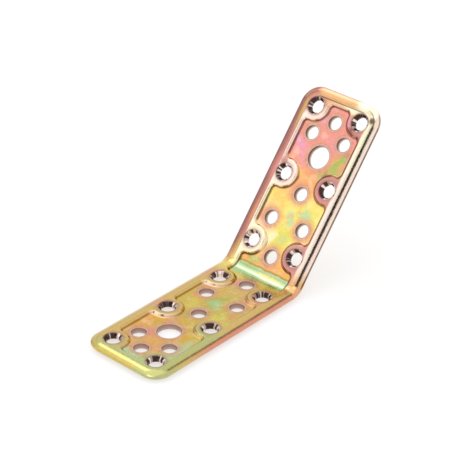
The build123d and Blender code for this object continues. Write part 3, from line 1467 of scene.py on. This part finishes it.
        # The dark lines of painted shade run along the upper leg's right rolled edge, short of its end.
        right = wire.times(
            wire.between(at.across, *self.fades.rim_lines_side),
            wire.between(at.along, *self.fades.rim_lines_start),
            wire.between(at.along, *self.fades.rim_lines_end),
        )
        # Paints each dark line of shade onto the rolled edge.
        for line in self.rim_shade_lines:
            begun = wire.between(at.rim, line.start, line.full)
            mark = wire.times(begun, wire.between(at.rim, line.stop, line.end, line.depth, 0.0))
            colour = wire.mix(wire.times(mark, right), colour, self.umber)
        return self.tinted(wire, at.place, colour, self.rim_tints())

    def painted_foot_shade(self, wire: Wiring, at: SheetSockets, colour: Socket) -> Socket:
        """Paints shade at the foot of the panel's walls, most on walls that face one way."""
        upper, fades = self.upper_leg(wire, at), self.fades
        foot = wire.times(wire.between(at.wall, *fades.wall), wire.between(at.height, *fades.wall_foot))
        facing = wire.times(wire.plus(at.lean_along, at.lean_across), self.upper_foot_gain, clamp=True)
        calm = wire.between(wire.absolute(wire.minus(at.along, self.calm_place)), *fades.calm)
        strong = wire.times(facing, calm, self.upper_foot_strength)
        mild = wire.times(wire.times(at.lean_across, self.lower_foot_gain, clamp=True), self.lower_foot_strength)
        share = wire.plus(wire.times(upper, strong), wire.times(wire.minus(1.0, upper), mild))
        # Painted shade: brown on the upper leg, sienna on the lower.
        return wire.mix(wire.times(foot, share), colour, wire.mix(upper, self.shade_sienna, self.shade_brown))

    def painted_far_wall_shade(self, wire: Wiring, at: SheetSockets, colour: Socket) -> Socket:
        """Paints dark lines of shade above and below the middle of the panel's far walls."""
        fades = self.fades
        facing = wire.between(at.lean_across, *fades.far_wall)
        far_wall = wire.times(facing, wire.between(at.rim, *fades.far_wall_at_rim))
        middle = wire.absolute(wire.plus(at.height, self.wall_middle))
        lines = wire.times(wire.between(middle, *fades.line_inside), wire.between(middle, *fades.line_outside))
        lines = wire.times(lines, self.upper_leg(wire, at, *fades.line_legs))
        # Paints the lines of shade in brown.
        return wire.mix(wire.times(far_wall, lines), colour, self.shade_brown)

    def painted_wall_light(self, wire: Wiring, at: SheetSockets, colour: Socket) -> Socket:
        """Paints shade and highlight on the panel's walls, and shade in the crease before the upper rim."""
        fades = self.fades
        colour = self.painted_far_wall_shade(wire, at, self.painted_foot_shade(wire, at, colour))
        # Painted highlight: blush on the lower leg's left walls that face its end.
        pale = wire.times(
            wire.times(at.lean_along, self.pale_wall_gain, clamp=True),
            wire.between(at.wall, *fades.wall),
            wire.between(at.along, *fades.pale_wall_along),
            wire.between(at.across, *fades.pale_wall_across),
            self.pale_wall_strength,
        )
        colour = wire.mix(pale, colour, self.blush)
        # Painted shade: brown where the upper leg's land meets its rolled end.
        crease = wire.times(
            wire.between(wire.absolute(wire.minus(at.along, self.end_crease_place)), *fades.end_crease),
            wire.between(at.height, *fades.end_crease_height),
            wire.between(wire.absolute(at.across), *fades.end_crease_across),
        )
        return wire.mix(crease, colour, self.shade_brown)

    def bore(self, wire: Wiring, at: SheetSockets) -> Socket:
        """Colour inside the holes: a plum wall that is partly its own colour and partly painted shade, with more
        painted shade on its left side on the upper leg and painted light at its foot.
        """
        fades = self.fades
        # Painted shade on the left side of each hole wall on the upper leg.
        far_side_shade = wire.times(wire.between(at.spoke_across, *fades.bore_far_side), self.upper_leg(wire, at))
        colour = wire.mix(far_side_shade, self.plum, self.umber)
        legs = self.upper_leg(wire, at, *fades.bore_foot_legs)
        # Painted light: pale oat at the foot of the walls, most on the upper leg.
        return wire.mix(wire.times(wire.between(at.height, *fades.bore_foot), legs), colour, self.oat)

    def cone(self, wire: Wiring, at: SheetSockets, spoke: Socket) -> Socket:
        """Painted reflections in the countersinks: dark and pale streaks that run down them, other ones in each,
        darker on the left side as painted shade.
        """
        shift = wire.vector("MULTIPLY", at.place, (self.streak_shift, self.streak_shift, 0.0))
        streak = wire.noise(wire.vector("ADD", spoke, shift), STREAK).outputs["Fac"]
        # The streak level makes the left side of each countersink darker, as painted shade.
        low = wire.between(at.spoke_across, *self.fades.streak_level)
        limits = {0: streak, 1: low, 2: wire.plus(low, self.streak_width), 3: 0.0, 4: self.streak_strength}
        dark = wire.add("ShaderNodeMapRange", limits).outputs[0]
        # Dark streaks are painted shade, pale glints painted highlight.
        return wire.mix(dark, self.glint, self.umber)

    def holed(self, wire: Wiring, at: SheetSockets, colour: Socket, raised: Socket) -> Socket:
        """Colours the holes and the sheet round them, with a pale ring of painted highlight beside each hole's lip on
        the panel.

        Args:
            wire: Wiring of the finish's tree.
            at: What the finish reads from the sheet.
            colour: Colour of the sheet.
            raised: 1 on the lands and 0 on the panel.

        Returns:
            The colour with its holes.
        """
        fades, sunken = self.fades, wire.minus(1.0, raised)
        legs = self.upper_leg(wire, at, *fades.halo_legs)
        colour = wire.mix(wire.times(wire.between(at.gap, *fades.halo), sunken, legs), colour, self.salmon)
        # Painted highlight: a pale blush ring just outside each hole's rounded lip.
        ring = wire.times(wire.between(at.gap, *fades.mouth_highlight), sunken)
        colour = wire.mix(ring, colour, self.blush)
        spoke = wire.combine(at.spoke_along, at.spoke_across, 0.0)
        lined = wire.times(wire.length(spoke), self.bore_strength, clamp=True)
        colour = wire.mix(lined, colour, self.bore(wire, at))
        return wire.mix(at.cone, colour, self.cone(wire, at, spoke))

    def build(self, name: str) -> bpy.types.Material:
        """Makes the finish.

        Args:
            name: Name of the material.

        Returns:
            The material.
        """
        material = bpy.data.materials.new(name)
        material.use_nodes = True
        tree = material.node_tree
        tree.nodes.clear()
        wire = Wiring(tree)
        at = SheetSockets.read(wire)
        fades = self.fades
        raised = wire.between(at.height, *fades.raised)
        colour = wire.mix(raised, self.panel(wire, at), self.land(wire, at))
        rolled = wire.between(at.rim, *fades.rim)
        for side in (fades.left_rim, fades.right_rim):
            rolled = wire.math("MAXIMUM", rolled, wire.between(at.across, *side))
        colour = wire.mix(rolled, colour, self.rolled(wire, at))
        colour = self.painted_wall_light(wire, at, colour)
        colour = self.holed(wire, at, colour, raised)
        grain = wire.noise(at.place, GRAIN).outputs["Fac"]
        colour = wire.scaled(colour, wire.between(grain, *fades.grain, *self.shade_swing, smooth=False))
        rough = [self.roughness + swing for swing in self.roughness_swing]
        rough = wire.between(grain, *fades.grain, *rough, smooth=False)
        swell = wire.plus(wire.noise(at.place, WAVE).outputs["Fac"], wire.times(grain, self.grain_height))
        bump = wire.add(
            "ShaderNodeBump", {"Height": swell, "Strength": self.wave_strength, "Distance": self.wave_height}
        ).outputs[0]
        shader = wire.add(
            "ShaderNodeBsdfPrincipled",
            {"Base Color": colour, "Metallic": 1.0, "Roughness": rough, "Normal": bump},
        )
        wire.add("ShaderNodeOutputMaterial", {"Surface": shader.outputs[0]})
        log.info("finish %s ready, %d nodes", name, len(tree.nodes))
        return material


@dataclass
class Bracket:
    """The whole bracket: folded sheet, lined holes and finish."""

    pattern: FlatPattern = field(default_factory=FlatPattern)
    finish: PassivatedZinc = field(default_factory=PassivatedZinc)

    def build(self) -> bpy.types.Object:
        """Builds, folds and dresses the bracket.

        Returns:
            The finished piece, at the origin, in metres.
        """
        sizes = self.pattern.sizes
        sheet = self.pattern.build()
        liners = {kind: self.pattern.liner_object(kind) for kind in HoleKind}
        places = self.pattern.places_object()
        low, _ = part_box(NODE)
        shift = (low.x + sizes.leg_length * MM, 0.0, (sizes.sheet + sizes.panel_depth) * MM)
        # The finish carries painted shade and highlights besides the film's own colours.
        material = self.finish.build("yellow_passivated_zinc")
        mesh = FoldTree().apply(
            sheet,
            {
                "Hole places": places,
                "Countersunk liner": liners[HoleKind.COUNTERSUNK],
                "Plain liner": liners[HoleKind.PLAIN],
                "Large liner": liners[HoleKind.LARGE],
                "Bend radius": sizes.bend_radius * MM,
                "Bend angle": sizes.bend,
                "Shift": shift,
                "Finish": material,
            },
        )
        for helper in [sheet, places, *liners.values()]:
            bpy.data.objects.remove(helper)
        mesh.name = "pressed_bracket"
        self.smooth(mesh)
        piece = bpy.data.objects.new("pressed_bracket", mesh)
        bpy.context.scene.collection.objects.link(piece)
        return piece

    def smooth(self, mesh: bpy.types.Mesh) -> None:
        """Gives the mesh the normals of the true surface in place of the facets'."""
        stored = mesh.attributes["sheet_normal"]
        values = [0.0] * (3 * len(mesh.vertices))
        stored.data.foreach_get("vector", values)
        mesh.polygons.foreach_set("use_smooth", [True] * len(mesh.polygons))
        normals = [tuple(values[3 * index : 3 * index + 3]) for index in range(len(mesh.vertices))]
        mesh.normals_split_custom_set_from_vertices(normals)
        for label in ("sheet_normal", "hole_kind"):
            if label in mesh.attributes:
                mesh.attributes.remove(mesh.attributes[label])


@dataclass
class Studio:
    """Floor, light and camera."""

    floor_size: float = 4.0
    floor_drop: float = 0.0003
    floor_grey: float = 0.44
    floor_glow: float = 0.61
    room_glow: float = 0.92
    aim_height: float = 0.02
    card_height: float = 0.03
    camera_place: Triple = (-0.39928, -0.35908, 0.34790)
    camera_way: Triple = (0.635887, 0.574136, -0.515766)
    camera_roll: float = -0.25
    focal_length: float = 139.65
    sensor: float = 36.0
    clip: tuple[float, float] = (0.01, 20.0)

    def build(self) -> None:
        """Sets up the whole studio."""
        self.background()
        self.floor()
        self.lights()
        self.camera()

    def seen_directly(self, wire: Wiring) -> Socket:
        """1 for rays from the camera, from glossy surfaces and through clear ones, else 0."""
        path = wire.add("ShaderNodeLightPath")
        total = wire.plus(path.outputs["Is Camera Ray"], path.outputs["Is Glossy Ray"])
        return wire.plus(total, path.outputs["Is Transmission Ray"], clamp=True)

    def background(self) -> None:
        """White surroundings with a gentler strength for soft light."""
        world = bpy.data.worlds.new("white_room")
        world.use_nodes = True
        bpy.context.scene.world = world
        tree = world.node_tree
        tree.nodes.clear()
        wire = Wiring(tree)
        seen = self.seen_directly(wire)
        strength = wire.add("ShaderNodeMapRange", {0: seen, 3: self.room_glow, 4: 1.0}).outputs[0]
        paint = wire.add("ShaderNodeBackground", {"Color": (1, 1, 1, 1), "Strength": strength})
        wire.add("ShaderNodeOutputWorld", {"Surface": paint.outputs[0]})

    def floor(self) -> None:
        """Plain pale floor that shows a faint shadow and is clear when seen from below."""
        half = self.floor_size / 2
        corners = [(x * half, y * half, -self.floor_drop) for x, y in ((-1, -1), (1, -1), (1, 1), (-1, 1))]
        mesh = bpy.data.meshes.new("floor")
        mesh.from_pydata(corners, [], [(0, 1, 2, 3)])
        material = bpy.data.materials.new("pale_floor")
        material.use_nodes = True
        shader = material.node_tree.nodes["Principled BSDF"]
        shader.inputs["Base Color"].default_value = (*[self.floor_grey] * 3, 1)
        shader.inputs["Roughness"].default_value = 0.9
        shader.inputs["Specular IOR Level"].default_value = 0.0
        shader.inputs["Emission Color"].default_value = (1, 1, 1, 1)
        wire = Wiring(material.node_tree)
        glow = wire.times(self.seen_directly(wire), self.floor_glow)
        material.node_tree.links.new(glow, shader.inputs["Emission Strength"])
        behind = wire.add("ShaderNodeNewGeometry").outputs["Backfacing"]
        behind = wire.times(behind, wire.add("ShaderNodeLightPath").outputs["Is Camera Ray"])
        clear = wire.add("ShaderNodeBsdfTransparent").outputs[0]
        sided = wire.add("ShaderNodeMixShader", {0: behind, 1: shader.outputs[0], 2: clear}).outputs[0]
        material.node_tree.links.new(sided, material.node_tree.nodes["Material Output"].inputs["Surface"])
        mesh.materials.append(material)
        made = bpy.data.objects.new("floor", mesh)
        bpy.context.scene.collection.objects.link(made)

    def lamp(self, name: str, place: Triple, size: float, power: float) -> None:
        """Adds a square soft lamp that points at the bracket.

        Args:
            name: Name of the lamp.
            place: Place of the lamp.
            size: Length of its side.
            power: Power in watts.
        """
        data = bpy.data.lights.new(name, "AREA")
        data.shape, data.size, data.energy = "SQUARE", size, power
        made = bpy.data.objects.new(name, data)
        made.location = place
        made.rotation_mode = "QUATERNION"
        made.rotation_quaternion = (Vector((0.0, 0.0, self.aim_height)) - Vector(place)).to_track_quat("-Z", "Y")
        bpy.context.scene.collection.objects.link(made)

    def flag(self, name: str, first: Triple, last: Triple, width: float, tone: float) -> None:
        """Adds a dark card a metre away that only shows as a reflection in the metal.

        Args:
            name: Name of the card.
            first: Place of the middle of one end, from the bracket.
            last: Place of the middle of the other end, from the bracket.
            width: Width of the card.
            tone: Grey value of the card.
        """
        material = bpy.data.materials.new(name)
        material.use_nodes = True
        tree = material.node_tree
        tree.nodes.clear()
        wire = Wiring(tree)
        paint = wire.add("ShaderNodeEmission", {"Color": (tone, tone, tone, 1), "Strength": 1.0})
        wire.add("ShaderNodeOutputMaterial", {"Surface": paint.outputs[0]})
        start, stop = Vector(first), Vector(last)
        side = (stop - start).cross(start + stop).normalized() * width / 2
        lift = Vector((0.0, 0.0, self.card_height))
        mesh = bpy.data.meshes.new(name)
        corners = [start - side, stop - side, stop + side, start + side]
        mesh.from_pydata([corner + lift for corner in corners], [], [(0, 1, 2, 3)])
        mesh.materials.append(material)
        made = bpy.data.objects.new(name, mesh)
        made.visible_camera = made.visible_diffuse = made.visible_shadow = False
        made.visible_transmission = made.visible_volume_scatter = False
        bpy.context.scene.collection.objects.link(made)

    def lights(self) -> None:
        """Four soft lamps, and four dark cards that the metal mirrors as dark lines and patches."""
        self.lamp("side_lamp", (-0.72, 1.02, 0.72), 0.8, 0.5)
        self.lamp("top_lamp", (0.05, 0.35, 1.25), 1.0, 1.3)
        self.lamp("crease_lamp", (0.20, 0.73, 0.95), 0.34, 0.38)
        self.lamp("corner_lamp", (-0.50, 0.18, 1.12), 0.30, 0.35)
        self.flag("strip_flag", (-0.80, 0.022, 0.60), (-0.63, 0.03, 0.776), 0.35, 0.01)
        self.flag("shoulder_flag", (-0.66, -0.62, 0.43), (-0.43, -0.61, 0.67), 0.18, 0.12)
        self.flag("far_flag", (0.72, 0.02, 0.69), (0.50, 0.02, 0.87), 0.20, 0.35)
        self.flag("left_flag", (-0.06, 0.99, 0.02), (0.12, 0.97, 0.25), 0.25, 0.6)

    def camera(self) -> None:
        """Camera at the angle from which the bracket is seen."""
        data = bpy.data.cameras.new("camera")
        data.lens, data.sensor_width = self.focal_length, self.sensor
        data.clip_start, data.clip_end = self.clip
        made = bpy.data.objects.new("camera", data)
        way = Vector(self.camera_way).normalized()
        made.rotation_mode = "QUATERNION"
        level = way.to_track_quat("-Z", "Y")
        roll = Matrix.Rotation(math.radians(self.camera_roll), 3, way).to_quaternion()
        made.rotation_quaternion = roll @ level
        made.location = self.camera_place
        bpy.context.scene.collection.objects.link(made)
        bpy.context.scene.camera = made


def main() -> None:
    """Builds the bracket and its studio."""
    logging.basicConfig(level=logging.INFO, format="%(name)s: %(message)s")
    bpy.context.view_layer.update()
    bpy.context.scene.view_settings.view_transform = "Standard"
    piece = Bracket().build()
    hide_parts(NODE)
    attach(piece, BODY)
    mesh = piece.data
    log.info("%s: %d points, %d faces", piece.name, len(mesh.vertices), len(mesh.polygons))
    Studio().build()


if __name__ == "__main__":
    main()
